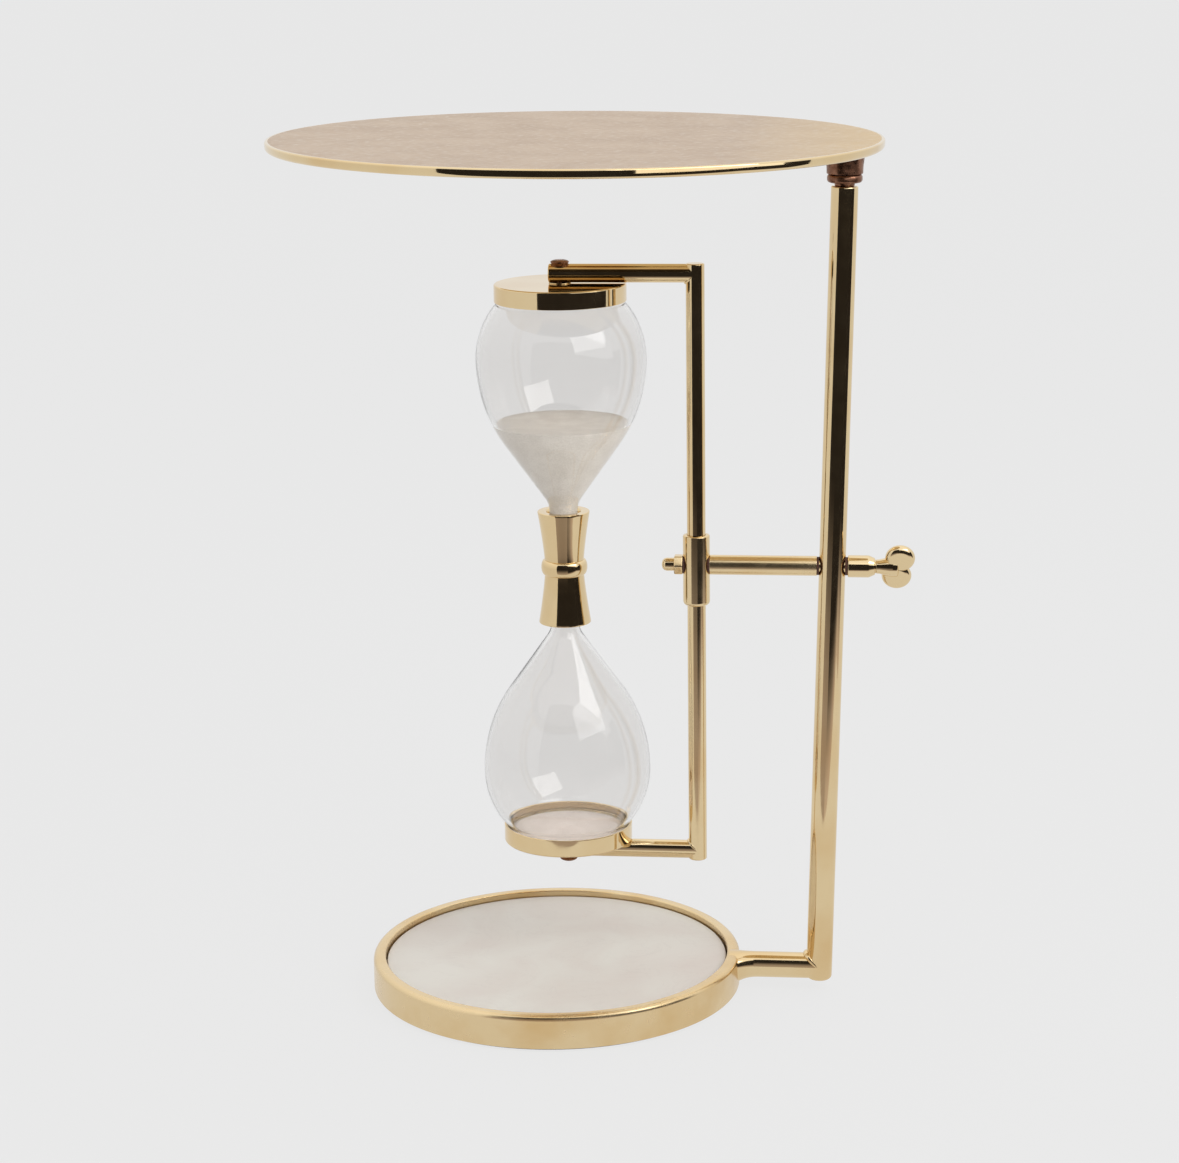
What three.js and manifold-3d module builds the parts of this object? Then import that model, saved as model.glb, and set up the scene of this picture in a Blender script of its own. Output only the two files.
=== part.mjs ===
// A sand glass in a brass frame that turns over on an axle, on a stand with a marble base and a top disc.
// Millimetres, +Z up. The origin is the centre of the felt's underside, and the axle lies along +X.

import * as THREE from "three";
import { mergeVertices } from "three/addons/utils/BufferGeometryUtils.js";
import Module from "manifold-3d";

const wasm = await Module();
wasm.setup();

const degree = Math.PI / 180;

// ---------- driving dimensions ----------

const seatGap = 0.3; // between a piece and a turned or round neighbour that it rests on
const holeClearance = 0.15; // radial, between a rod or screw and its hole
const socketClearance = 0.15; // per side, between a bar and its socket

// Sides of round pieces
const pinSides = 20;
const barSides = 24;
const capSides = 36;
const glassSides = 28;
const baseSides = 60;
const discSides = 72;

// Base: felt, ring with a ledge, marble
const feltThickness = 1.0;
const feltInset = 2.2;
const baseRadius = 71.7;
const baseWall = 4.8;
const ringHeight = 12.9;
const ringEdge = 1.2;
const ledgeWidth = 6.0;
const marbleThickness = 7.5;
const marbleGap = 0.5;
const marbleRecess = 2.4;
const marbleArris = 0.5;

// Round post and its foot bar
const postRadius = 5.0;
const postLean = 1.475 * degree;
const postTopChamfer = 0.5;
const postFootChamfer = 1.3;
const spotDepth = 0.4; // of the flats on the post for the axle's washers
const footLift = 4.3; // underside of the foot bar above the table
const footFlare = 3.2; // widening of the foot bar where it runs into the ring
const footFlareLength = 5.5;

// Top disc with its boss, and the washers and stud under it
const discRadius = 113.5;
const discThickness = 3.5;
const discEdge = 0.5;
const discTilt = 0.507 * degree;
const bossInset = 14.5; // boss centre to the disc's rim
const bossFootRadius = 6.7;
const bossHeadRadius = 7.8;
const bossHeight = 9.3;
const discWasherWall = 4.0; // radial, from the stud outwards
const discWasherThickness = 3.2;
const discWasherEdge = 1.0;
const postWasherWall = 1.2;
const postWasherThickness = 1.2;
const washerEdge = 0.2;
const studRadius = 2.5;
const studIntoPost = 10.0;
const studIntoBoss = 7.0;
const studTipRoom = 1.0;

// Glass bulbs, as one outline that is mirrored: shoulder, belly, cone, neck
const bulbRadius = 32.0;
const bellyRadius = 56.0;
const coneAngle = 35.5 * degree;
const neckRadius = 5.3;
const neckFillet = 9.0;
const glassWall = 1.4;
const rimRadius = 23.5;
const rimHeight = 3.4;

// Collar that joins the two necks, with the orifice between them
const ferruleHalf = 21.7;
const ferruleMouthOverNeck = 0.1; // how far the collar reaches past the start of the straight neck
const ferruleEndWall = 4.7; // radial, from the neck's glass outwards
const ferruleWaistWall = 2.2;
const ferruleBeadWall = 3.5;
const ferruleBeadHalf = 2.9;
const ferruleFlare = 1.25; // power of the curve from the waist out to the end
const ferruleMouthGap = 1.4;
const ferruleMouthDepth = 2.2;
const orificeThickness = 1.2;
const orificeHoleRadius = 1.2;

// Sand
const sandGap = 0.3;
const sandDepth = 55.0; // above the orifice
const sandBedHeight = 1.8;
const sandBedEdge = 0.6;

// Caps, seals and their screws
const sealThickness = 1.75;
const capPlate = 1.55;
const capWall = 0.96;
const capClearance = 0.3;
const capEdge = 0.45;
const armWasherWall = 2.7; // radial, from the screw outwards
const armWasherThickness = 0.4;
const screwRadius = 1.5;
const topScrewHeadRadius = 3.5;
const topScrewHeadHeight = 1.5;
const bottomScrewHeadRadius = 3.4;
const bottomScrewHeadHeight = 2.0;
const screwSeat = 0.9; // depth of the flat that a head sits on

// C-shaped frame of round bar
const barRadius = 3.5;
const barEndChamfer = 0.4;
const sideGap = 14.8; // widest part of the glass to the upright
const armOverhang = 4.2; // arm past the screw's centre
const footRoom = 38.4; // ring to frame
const headRoom = 42.1; // frame to disc
const glassOffset = 5.4; // glass axis from the base's centre

// Axle and what is on it, from the nut to the wing nut
const axleRaise = 1.3; // axle above the frame's middle
const axleRadius = 2.5;
const axleTail = 4.7; // rod past the nut
const nutAcrossFlats = 7.0;
const nutThickness = 3.3;
const fibreWasherThickness = 0.8;
const fibreWasherWall = 0.9; // radial, from the axle outwards, as the other walls here
const outerWasherThickness = 1.0; // of the one between post and collar
const blockWall = 1.45; // round the bars' sockets
const blockSpotDepth = 0.8; // of the flats on the block for its washers
const spotClearance = 0.3; // radial, round a washer on a flat
const blockHalf = 13.6;
const blockDrop = 2.0; // block's middle below the axle
const blockTopChamfer = 0.5;
const blockFootChamfer = 1.4;
const blockWebWall = 1.5; // between the axle and the sockets
const socketDepthRoom = 0.3;
const spacerLength = 40.4;
const spacerWall = 1.25;
const collarLength = 10.2;
const collarWall = 1.7;
const collarNose = 2.4;
const collarNoseWall = 0.6;
const axleTailRound = 2.0;
const axleTipChamfer = 0.5;
const axleTipInset = 2.5; // end of the rod inside the wing nut
const wingHubLength = 8.5;
const wingHubFootWall = 0.7;
const wingHubHeadWall = 1.5;
const wingHubRound = 1.0;
const wingLobeRadius = 5.5;
const wingLobeAlong = 8.7; // lobe centre from the hub's foot
const wingLobeOut = 4.1; // lobe centre from the axle
const wingLobeFrom = 144 * degree;
const wingLobeTo = -29 * degree;
const wingThickness = 4.0;
const wingEdge = 0.9;
const wingTurn = 25 * degree; // upper wing leans to the front

// ---------- derived places ----------

const ringTop = feltThickness + ringHeight;
const ringBore = baseRadius - baseWall;
const marbleTop = ringTop - marbleRecess;
const ledgeTop = marbleTop - marbleThickness;
const footBarMiddle = footLift + postRadius;

const discWasherRadius = studRadius + discWasherWall;
const postWasherRadius = studRadius + postWasherWall;
const ferruleEndRadius = neckRadius + ferruleEndWall;
const ferruleWaistRadius = neckRadius + ferruleWaistWall;
const ferruleBeadRadius = neckRadius + ferruleBeadWall;
const ferruleMouthRadius = neckRadius + ferruleMouthGap;
const armWasherRadius = screwRadius + armWasherWall;
const fibreWasherRadius = axleRadius + fibreWasherWall;
const spacerRadius = axleRadius + spacerWall;
const collarRadius = axleRadius + collarWall;
const collarNoseRadius = axleRadius + collarNoseWall;
const wingHubFootRadius = axleRadius + wingHubFootWall;
const wingHubHeadRadius = axleRadius + wingHubHeadWall;
const blockRadius = barRadius + socketClearance + blockWall;
const blockWebHalf = axleRadius + blockWebWall;

// Heights along the glass are measured from its middle, s = 0
const neckTop = ferruleHalf - ferruleMouthOverNeck;
const coneFootRadius = neckRadius + neckFillet * (1 - Math.cos(coneAngle));
const coneHeadRadius = bulbRadius - bellyRadius * (1 - Math.cos(coneAngle));
const coneFoot = neckTop + neckFillet * Math.sin(coneAngle);
const coneHead = coneFoot + (coneHeadRadius - coneFootRadius) / Math.tan(coneAngle);
const shoulder = coneHead + bellyRadius * Math.sin(coneAngle);
const rimFoot = shoulder + Math.sqrt(bulbRadius ** 2 - rimRadius ** 2);
const rimTop = rimFoot + rimHeight;
const capRadius = rimRadius + capClearance + capWall;
const capTop = rimTop + sealThickness + capPlate;
const armFoot = capTop + armWasherThickness;
const frameHalf = armFoot + 2 * barRadius;

const frameMiddle = ringTop + footRoom + frameHalf;
const axleHeight = frameMiddle + axleRaise;
const uprightX = glassOffset + bulbRadius + sideGap + barRadius;

const blockFlat = blockRadius - blockSpotDepth; // flat to the block's middle
const postFlat = postRadius - spotDepth;
const nutWasherLeft = uprightX - blockFlat - fibreWasherThickness;
const nutLeft = nutWasherLeft - nutThickness;
const axleLeft = nutLeft - axleTail;
const blockWasherLeft = uprightX + blockFlat;
const spacerLeft = blockWasherLeft + fibreWasherThickness;
const spacerRight = spacerLeft + spacerLength;
const postAtAxle = spacerRight + fibreWasherThickness + seatGap + postFlat;
const outerWasherLeft = postAtAxle + postFlat + seatGap;
const collarLeft = outerWasherLeft + outerWasherThickness;
const wingLeft = collarLeft + collarLength + seatGap;
const axleRight = wingLeft + wingHubLength - axleTipInset;

const discUnderside = frameMiddle + frameHalf + headRoom;
const postTop = discUnderside - bossHeight - discWasherThickness - postWasherThickness;
const postX = (height) => postAtAxle + (height - axleHeight) * Math.tan(postLean);

// ---------- shape helpers ----------

const part = new THREE.Group();

function add(group, name, geometry, material, position = [0, 0, 0], rotation = [0, 0, 0]) {
  const mesh = new THREE.Mesh(geometry, material);
  mesh.name = name;
  mesh.position.set(...position);
  mesh.rotation.set(...rotation);
  group.add(mesh);
}

function subgroup(position, rotation = [0, 0, 0]) {
  const group = new THREE.Group();
  group.position.set(...position);
  group.rotation.set(...rotation);
  part.add(group);
  return group;
}

// A closed geometry as a manifold-3d solid
function solid(geometry) {
  const bare = geometry.clone();
  bare.deleteAttribute("normal");
  bare.deleteAttribute("uv");
  const merged = mergeVertices(bare, 1e-4);
  const vertProperties = merged.attributes.position.array;
  const triVerts = new Uint32Array(merged.index.array);
  return new wasm.Manifold(new wasm.Mesh({ numProp: 3, vertProperties, triVerts }));
}

// A manifold-3d solid as a geometry
function surface(manifold) {
  const mesh = manifold.getMesh();
  const geometry = new THREE.BufferGeometry();
  geometry.setAttribute("position", new THREE.BufferAttribute(Float32Array.from(mesh.vertProperties), 3));
  geometry.setIndex(new THREE.BufferAttribute(Uint32Array.from(mesh.triVerts), 1));
  geometry.computeVertexNormals();
  return geometry;
}

function join(...geometries) {
  return surface(geometries.map(solid).reduce((whole, piece) => whole.add(piece)));
}

function cut(geometry, ...holes) {
  return surface(holes.map(solid).reduce((whole, hole) => whole.subtract(hole), solid(geometry)));
}

// Points of an arc in (radius, height)
function arc(centreR, centreS, radius, from, to, steps) {
  const points = [];
  for (let i = 0; i <= steps; i += 1) {
    const angle = from + ((to - from) * i) / steps;
    points.push([centreR + radius * Math.cos(angle), centreS + radius * Math.sin(angle)]);
  }
  return points;
}

// A body turned about Z from an outline in (radius, height), which runs up its outer side
function turned(outline, sides) {
  const closed = outline[0][0] > 0 ? [...outline, outline[0]] : outline;
  const points = closed.map(([r, s]) => new THREE.Vector2(Math.max(r, 0), s));
  return new THREE.LatheGeometry(points, sides).rotateX(Math.PI / 2);
}

// The same about X, from an outline in (radius, distance along X)
function turnedX(outline, sides) {
  return turned(outline, sides).rotateY(Math.PI / 2);
}

// A disc or ring between two heights, with its outer edges chamfered; hole 0 makes a disc
function ringOf(radius, hole, low, high, chamfer, sides) {
  const outline = [
    [hole, low],
    [radius - chamfer, low],
    [radius, low + chamfer],
    [radius, high - chamfer],
    [radius - chamfer, high],
    [hole, high],
  ];
  return turned(outline, sides);
}

function rodZ(radius, low, high) {
  const rod = new THREE.CylinderGeometry(radius, radius, high - low, pinSides);
  return rod.rotateX(Math.PI / 2).translate(0, 0, (low + high) / 2);
}

function rodX(radius, left, right) {
  return rodZ(radius, left, right).rotateY(Math.PI / 2);
}

// A round bar along +Z from z = 0, with chamfers at its foot and head
function bar(radius, length, foot, head) {
  const outline = [
    [0, 0],
    [radius - foot, 0],
    [radius, foot],
    [radius, length - head],
    [radius - head, length],
    [0, length],
  ];
  return turned(outline, barSides);
}

// What mills flats across a round piece's sides for washers on an axle along X
function spotTools(flat, washerRadius) {
  const radius = washerRadius + spotClearance;
  return [rodX(radius, flat, 2 * flat), rodX(radius, -2 * flat, -flat)];
}

// ---------- materials ----------

function metal(color, roughness) {
  return new THREE.MeshStandardMaterial({ color, roughness, metalness: 1 });
}

function plain(color, roughness) {
  return new THREE.MeshStandardMaterial({ color, roughness, metalness: 0 });
}

const polishedBrass = metal(0xd8c08c, 0.12);
const satinBrass = metal(0xcdb78f, 0.3);
const castBrass = metal(0xccbbaa, 0.5);
const darkBronze = metal(0x4b2d1e, 0.35);
const marble = plain(0xd0c8bb, 0.3);
const felt = plain(0x2c2a28, 0.95);
const paleSand = plain(0xd8cfc8, 0.9);
const sealRubber = plain(0xd9cfc8, 0.7);
const fibre = plain(0x4a2618, 0.8);
const clearGlass = plain(0xf2f5f5, 0.03);
clearGlass.transparent = true;
clearGlass.opacity = 0.3;

// ---------- base ----------

const ringOutline = [
  [ringBore - ledgeWidth, feltThickness],
  [baseRadius - ringEdge, feltThickness],
  [baseRadius, feltThickness + ringEdge],
  [baseRadius, ringTop - ringEdge],
  [baseRadius - ringEdge, ringTop],
  [ringBore + ringEdge / 2, ringTop],
  [ringBore, ringTop - ringEdge / 2],
  [ringBore, ledgeTop],
  [ringBore - ledgeWidth, ledgeTop],
];

// The foot bar runs from inside the ring's wall to the post, and its end is cut to the post's round
const footStart = baseRadius - baseWall / 2;

function footBar() {
  const end = postX(footBarMiddle);
  const whole = bar(postRadius, end - footStart, 0, 0).rotateY(Math.PI / 2);
  const post = rodZ(postRadius + seatGap, -2 * postRadius, 2 * postRadius).rotateY(postLean);
  return cut(whole.translate(footStart, 0, footBarMiddle), post.translate(end, 0, footBarMiddle));
}

// The foot bar widens where it meets the ring, but grows no higher
function footFlareGeometry() {
  const tip = baseRadius + footFlareLength;
  const wide = postRadius + footFlare;
  const outline = [
    [0, footStart],
    [wide, footStart],
    [postRadius + footFlare / 2, baseRadius + footFlareLength / 3],
    [postRadius, tip],
    [0, tip],
  ];
  return turnedX(outline, barSides).scale(1, 1, postRadius / wide).translate(0, 0, footBarMiddle);
}

const marbleRadius = ringBore - marbleGap;
const feltRadius = baseRadius - feltInset;
add(part, "base_ring", join(turned(ringOutline, baseSides), footBar(), footFlareGeometry()), satinBrass);
add(part, "base_felt", ringOf(feltRadius, 0, 0, feltThickness, 0, capSides), felt);
add(part, "marble_disc", ringOf(marbleRadius, 0, ledgeTop, marbleTop, marbleArris, baseSides), marble);

// ---------- post ----------

// The post's own frame stands at its foot and leans with it, while the axle's hole stays level
const postLength = (postTop - footLift) / Math.cos(postLean);

function postGeometry() {
  const axleHole = rodX(axleRadius + holeClearance, -2 * postRadius, 2 * postRadius);
  const level = [axleHole, ...spotTools(postFlat, fibreWasherRadius)];
  for (const tool of level) {
    tool.rotateY(-postLean).translate(0, 0, (axleHeight - footLift) / Math.cos(postLean));
  }
  const studHole = rodZ(studRadius + seatGap, postLength - studIntoPost - studTipRoom, postLength + 1);
  return cut(bar(postRadius, postLength, postFootChamfer, postTopChamfer), ...level, studHole);
}

add(part, "post", postGeometry(), polishedBrass, [postX(footLift), 0, footLift], [0, postLean, 0]);

// ---------- top disc and its fixing ----------

// This group's origin is the centre of the post's top end, and it tilts with the disc
const head = subgroup([postX(postTop), 0, postTop], [0, discTilt, 0]);
const bossLow = postWasherThickness + discWasherThickness;
const discLow = bossLow + bossHeight;
const discTop = discLow + discThickness;

function discGeometry() {
  const plate = ringOf(discRadius, 0, discLow, discTop, discEdge, discSides);
  plate.translate(bossInset - discRadius, 0, 0);
  const plateMiddle = discLow + discThickness / 2;
  const bossOutline = [
    [0, bossLow],
    [bossFootRadius, bossLow],
    [bossHeadRadius, discLow],
    [bossHeadRadius, plateMiddle],
    [0, plateMiddle],
  ];
  const boss = turned(bossOutline, pinSides);
  const studHole = rodZ(studRadius + holeClearance, bossLow - 1, bossLow + studIntoBoss + studTipRoom);
  return cut(join(plate, boss), studHole);
}

function studWasher(radius, low, high, edge) {
  return ringOf(radius, studRadius + holeClearance, low, high, edge, pinSides);
}

const discWasher = studWasher(discWasherRadius, postWasherThickness, bossLow, discWasherEdge);
const postWasher = studWasher(postWasherRadius, seatGap, postWasherThickness, washerEdge);
add(head, "top_disc", discGeometry(), castBrass);
add(head, "disc_washer", discWasher, darkBronze);
add(head, "post_washer", postWasher, darkBronze);
add(head, "disc_stud", rodZ(studRadius, -studIntoPost, bossLow + studIntoBoss), satinBrass);

// ---------- glass, collar and sand ----------

// The glass group's origin is the middle of the glass, and the lower half is the upper half turned over
const glass = subgroup([glassOffset, 0, frameMiddle]);
const upright = [0, 0, 0];
const turnedOver = [Math.PI, 0, 0];
const neckEnd = orificeThickness / 2;

// The glass's outer outline from the neck up, moved inwards by an offset
function bulbOutline(offset, low) {
  const neckCentre = neckRadius + neckFillet;
  const neck = arc(neckCentre, neckTop, neckFillet + offset, Math.PI, Math.PI - coneAngle, 3);
  const belly = arc(bulbRadius - bellyRadius, shoulder, bellyRadius - offset, -coneAngle, 0, 5);
  const rimAngle = Math.acos((rimRadius - offset) / (bulbRadius - offset));
  const crown = arc(0, shoulder, bulbRadius - offset, 0, rimAngle, 5).slice(1);
  return [[neckRadius - offset, low], ...neck, ...belly, ...crown];
}

function bulbGeometry() {
  const outside = [...bulbOutline(0, neckEnd), [rimRadius, rimTop]];
  const inside = [...bulbOutline(glassWall, neckEnd), [rimRadius - glassWall, rimTop]];
  return turned([...outside, ...inside.reverse()], glassSides);
}

// The sand fills the bulb up to its level
function sandGeometry() {
  const low = neckEnd + sandGap;
  const outline = bulbOutline(glassWall + sandGap, low);
  const filling = turned([[0, low], ...outline, [0, outline.at(-1)[1]]], glassSides);
  const above = rodZ(2 * bulbRadius, neckEnd + sandDepth, rimTop);
  return cut(filling, above);
}

function sandBedGeometry() {
  const radius = rimRadius - glassWall - sandGap;
  const floor = -rimTop;
  const middle = floor + (sandBedEdge + sandBedHeight) / 2;
  const outline = [
    [0, floor],
    [radius, floor],
    [radius, floor + sandBedEdge],
    [radius / 2, middle],
    [0, floor + sandBedHeight],
  ];
  return turned(outline, glassSides);
}

// From the bead in the middle up to the wide end
function collarUpperOutline() {
  const bulge = ferruleBeadRadius - ferruleWaistRadius;
  const bead = [3, 2, 1].map((i) => {
    const angle = (i * Math.PI) / 6;
    return [ferruleWaistRadius + bulge * Math.sin(angle), ferruleBeadHalf * Math.cos(angle)];
  });
  const steps = 6;
  const flare = [];
  for (let i = 0; i <= steps; i += 1) {
    const share = i / steps;
    const radius = ferruleWaistRadius + (ferruleEndRadius - ferruleWaistRadius) * share ** ferruleFlare;
    flare.push([radius, ferruleBeadHalf + (ferruleHalf - ferruleBeadHalf) * share]);
  }
  return [...bead, ...flare];
}

function neckCollarGeometry() {
  const bore = neckRadius + seatGap;
  const upper = collarUpperOutline();
  const lower = upper.slice(1).map(([r, s]) => [r, -s]).reverse();
  const inside = [
    [ferruleMouthRadius, ferruleHalf],
    [bore, ferruleHalf - ferruleMouthDepth],
    [bore, ferruleMouthDepth - ferruleHalf],
    [ferruleMouthRadius, -ferruleHalf],
  ];
  return turned([...lower, ...upper, ...inside], glassSides);
}

add(glass, "upper_bulb", bulbGeometry(), clearGlass);
add(glass, "lower_bulb", bulbGeometry(), clearGlass, upright, turnedOver);
add(glass, "neck_collar", neckCollarGeometry(), polishedBrass);
add(glass, "orifice_disc", ringOf(neckRadius, orificeHoleRadius, -neckEnd, neckEnd, 0, pinSides), satinBrass);
add(glass, "sand", sandGeometry(), paleSand);
add(glass, "sand_bed", sandBedGeometry(), paleSand);

// ---------- caps, seals, washers and screws ----------

const screwHole = screwRadius + holeClearance;
const sealTop = rimTop + sealThickness;

function capGeometry() {
  const bore = rimRadius + capClearance;
  const outline = [
    [screwHole, sealTop],
    [bore, sealTop],
    [bore, rimFoot],
    [capRadius, rimFoot],
    [capRadius, capTop - capEdge],
    [capRadius - capEdge, capTop],
    [screwHole, capTop],
  ];
  return turned(outline, capSides);
}

const seatHeight = frameHalf - screwSeat;

// The head's height is what stands over the arm's highest line
function screwGeometry(headRadius, headHeight) {
  const rise = headHeight + screwSeat;
  const crown = arc(0, 0, 1, 0, Math.PI / 2, 4).map(([r, s]) => [r * headRadius, seatHeight + s * rise]);
  return turned([[0, sealTop], [screwRadius, sealTop], [screwRadius, seatHeight], ...crown], pinSides);
}

const ends = [
  { name: "upper", turn: upright, head: [topScrewHeadRadius, topScrewHeadHeight] },
  { name: "lower", turn: turnedOver, head: [bottomScrewHeadRadius, bottomScrewHeadHeight] },
];
for (const { name, turn, head: [headRadius, headHeight] } of ends) {
  const screw = screwGeometry(headRadius, headHeight);
  const armWasher = ringOf(armWasherRadius, screwHole, capTop, armFoot, washerEdge, pinSides);
  const seal = ringOf(rimRadius, 0, rimTop, sealTop, 0, glassSides);
  add(glass, `${name}_cap`, capGeometry(), polishedBrass, [0, 0, 0], turn);
  add(glass, `${name}_seal`, seal, sealRubber, [0, 0, 0], turn);
  add(glass, `${name}_arm_washer`, armWasher, satinBrass, [0, 0, 0], turn);
  add(glass, `${name}_cap_screw`, screw, darkBronze, [0, 0, 0], turn);
}

// ---------- frame bars ----------

// An arm lies along X, butts against the round of the upright and has its screw at the glass axis
function armGeometry(headRadius) {
  const left = glassOffset - armOverhang;
  const whole = bar(barRadius, uprightX - left, barEndChamfer, 0).rotateY(Math.PI / 2);
  const uprightWay = rodZ(barRadius + seatGap, -2 * barRadius, 2 * barRadius);
  const screwWay = rodZ(screwHole, -2 * barRadius, 2 * barRadius);
  const seat = rodZ(headRadius + holeClearance, barRadius - screwSeat, 2 * barRadius);
  for (const tool of [screwWay, seat]) tool.translate(glassOffset, 0, 0);
  return cut(whole.translate(left, 0, 0), uprightWay.translate(uprightX, 0, 0), screwWay, seat);
}

function addUpright(name, low, high, foot, head) {
  add(part, name, bar(barRadius, high - low, foot, head), polishedBrass, [uprightX, 0, low]);
}

const armHeight = armFoot + barRadius;
const socketEnd = blockWebHalf + socketDepthRoom;
const frameTop = frameMiddle + frameHalf;
const frameFoot = frameMiddle - frameHalf;
const upperArm = armGeometry(topScrewHeadRadius);
const lowerArm = armGeometry(bottomScrewHeadRadius);
add(part, "upper_arm", upperArm, polishedBrass, [0, 0, frameMiddle + armHeight]);
add(part, "lower_arm", lowerArm, polishedBrass, [0, 0, frameMiddle - armHeight], turnedOver);
addUpright("upper_upright", axleHeight + socketEnd, frameTop, 0, barEndChamfer);
addUpright("lower_upright", frameFoot, axleHeight - socketEnd, barEndChamfer, 0);

// ---------- axle and what is on it ----------

const axleGroup = subgroup([0, 0, axleHeight]);
const onAxle = axleRadius + holeClearance;

// The block is round, and its own frame is where the axle crosses it
function blockGeometry() {
  const body = bar(blockRadius, 2 * blockHalf, blockFootChamfer, blockTopChamfer);
  body.translate(0, 0, -blockDrop - blockHalf);
  const socketRadius = barRadius + socketClearance;
  const upperSocket = rodZ(socketRadius, blockWebHalf, 2 * blockHalf);
  const lowerSocket = rodZ(socketRadius, -2 * blockHalf, -blockWebHalf);
  const axleHole = rodX(onAxle, -2 * blockRadius, 2 * blockRadius);
  return cut(body, upperSocket, lowerSocket, axleHole, ...spotTools(blockFlat, fibreWasherRadius));
}

function axleGeometry() {
  const tail = arc(0, 0, 1, -Math.PI / 2, 0, 4).map(([r, s]) => [
    r * axleRadius,
    axleLeft + axleTailRound * (1 + s),
  ]);
  const tip = [
    [axleRadius, axleRight - axleTipChamfer],
    [axleRadius - axleTipChamfer, axleRight],
    [0, axleRight],
  ];
  return turnedX([...tail, ...tip], pinSides);
}

function nutGeometry() {
  const corner = nutAcrossFlats / 2 / Math.cos(Math.PI / 6);
  const hexagon = new THREE.CylinderGeometry(corner, corner, nutThickness, 6)
    .rotateZ(-Math.PI / 2)
    .rotateX(Math.PI / 6)
    .translate(nutThickness / 2, 0, 0);
  return cut(hexagon, rodX(onAxle, -nutThickness, 2 * nutThickness));
}

// A plain sleeve on the axle, from x = 0
function sleeve(radius, length) {
  return turnedX([[onAxle, 0], [radius, 0], [radius, length], [onAxle, length]], pinSides);
}

function clampCollarGeometry() {
  const barrel = collarLength - collarNose;
  const outline = [
    [onAxle, 0],
    [collarRadius, 0],
    [collarRadius, barrel],
    [collarNoseRadius, collarLength],
    [onAxle, collarLength],
  ];
  return turnedX(outline, pinSides);
}

// One wing above the axle, widest at its round lobe
function wingGeometry() {
  const plan = new THREE.Shape();
  plan.moveTo(0, 0);
  plan.absarc(wingLobeAlong, wingLobeOut, wingLobeRadius, wingLobeFrom, wingLobeTo, true);
  plan.lineTo(wingHubLength, 0);
  const options = {
    depth: wingThickness - 2 * wingEdge,
    curveSegments: 10,
    bevelThickness: wingEdge,
    bevelSize: wingEdge,
    bevelOffset: -wingEdge,
    bevelSegments: 1,
  };
  const wing = new THREE.ExtrudeGeometry(plan, options).translate(0, 0, wingEdge - wingThickness / 2);
  return wing.rotateX(Math.PI / 2);
}

function wingNutGeometry() {
  const outline = [
    [0, 0],
    [wingHubFootRadius, 0],
    [wingHubHeadRadius, wingHubLength - wingHubRound],
    [wingHubHeadRadius - wingHubRound, wingHubLength],
    [0, wingHubLength],
  ];
  const wings = join(turnedX(outline, pinSides), wingGeometry(), wingGeometry().rotateX(Math.PI));
  return cut(wings, rodX(onAxle, -wingHubLength, 2 * wingHubLength));
}

const washers = [
  ["nut_washer", nutWasherLeft, fibreWasherThickness],
  ["block_washer", blockWasherLeft, fibreWasherThickness],
  ["spacer_washer", spacerRight, fibreWasherThickness],
  ["collar_washer", outerWasherLeft, outerWasherThickness],
];
for (const [name, left, thickness] of washers) {
  add(axleGroup, name, sleeve(fibreWasherRadius, thickness), fibre, [left, 0, 0]);
}
add(axleGroup, "pivot_block", blockGeometry(), polishedBrass, [uprightX, 0, 0]);
add(axleGroup, "axle", axleGeometry(), satinBrass);
add(axleGroup, "axle_nut", nutGeometry(), satinBrass, [nutLeft, 0, 0]);
add(axleGroup, "spacer_tube", sleeve(spacerRadius, spacerLength), polishedBrass, [spacerLeft, 0, 0]);
add(axleGroup, "clamp_collar", clampCollarGeometry(), polishedBrass, [collarLeft, 0, 0]);
add(axleGroup, "wing_nut", wingNutGeometry(), polishedBrass, [wingLeft, 0, 0], [wingTurn, 0, 0]);

export default part;
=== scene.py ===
import math

import bmesh
import bpy
from mathutils import Matrix, Vector


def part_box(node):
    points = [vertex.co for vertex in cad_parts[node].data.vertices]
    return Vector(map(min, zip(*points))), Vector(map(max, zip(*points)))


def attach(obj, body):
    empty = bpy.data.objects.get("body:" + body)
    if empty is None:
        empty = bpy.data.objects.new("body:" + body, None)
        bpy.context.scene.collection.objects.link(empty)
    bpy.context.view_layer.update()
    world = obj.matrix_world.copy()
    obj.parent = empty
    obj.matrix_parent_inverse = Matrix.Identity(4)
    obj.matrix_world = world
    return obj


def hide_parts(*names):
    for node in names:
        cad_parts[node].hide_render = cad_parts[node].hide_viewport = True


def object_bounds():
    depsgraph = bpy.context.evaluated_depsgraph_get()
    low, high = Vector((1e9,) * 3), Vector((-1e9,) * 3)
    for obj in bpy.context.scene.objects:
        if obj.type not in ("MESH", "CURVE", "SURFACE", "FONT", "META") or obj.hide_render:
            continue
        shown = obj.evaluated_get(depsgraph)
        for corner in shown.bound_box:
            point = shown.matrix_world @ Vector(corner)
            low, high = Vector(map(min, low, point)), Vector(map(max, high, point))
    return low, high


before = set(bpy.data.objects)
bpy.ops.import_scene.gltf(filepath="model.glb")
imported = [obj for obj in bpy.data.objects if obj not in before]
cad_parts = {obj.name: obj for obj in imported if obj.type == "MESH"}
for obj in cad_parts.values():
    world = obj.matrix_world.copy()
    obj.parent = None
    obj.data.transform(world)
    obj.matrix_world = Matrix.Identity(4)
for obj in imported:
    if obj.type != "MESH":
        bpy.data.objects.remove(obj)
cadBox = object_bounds()
mm = 0.001


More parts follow.
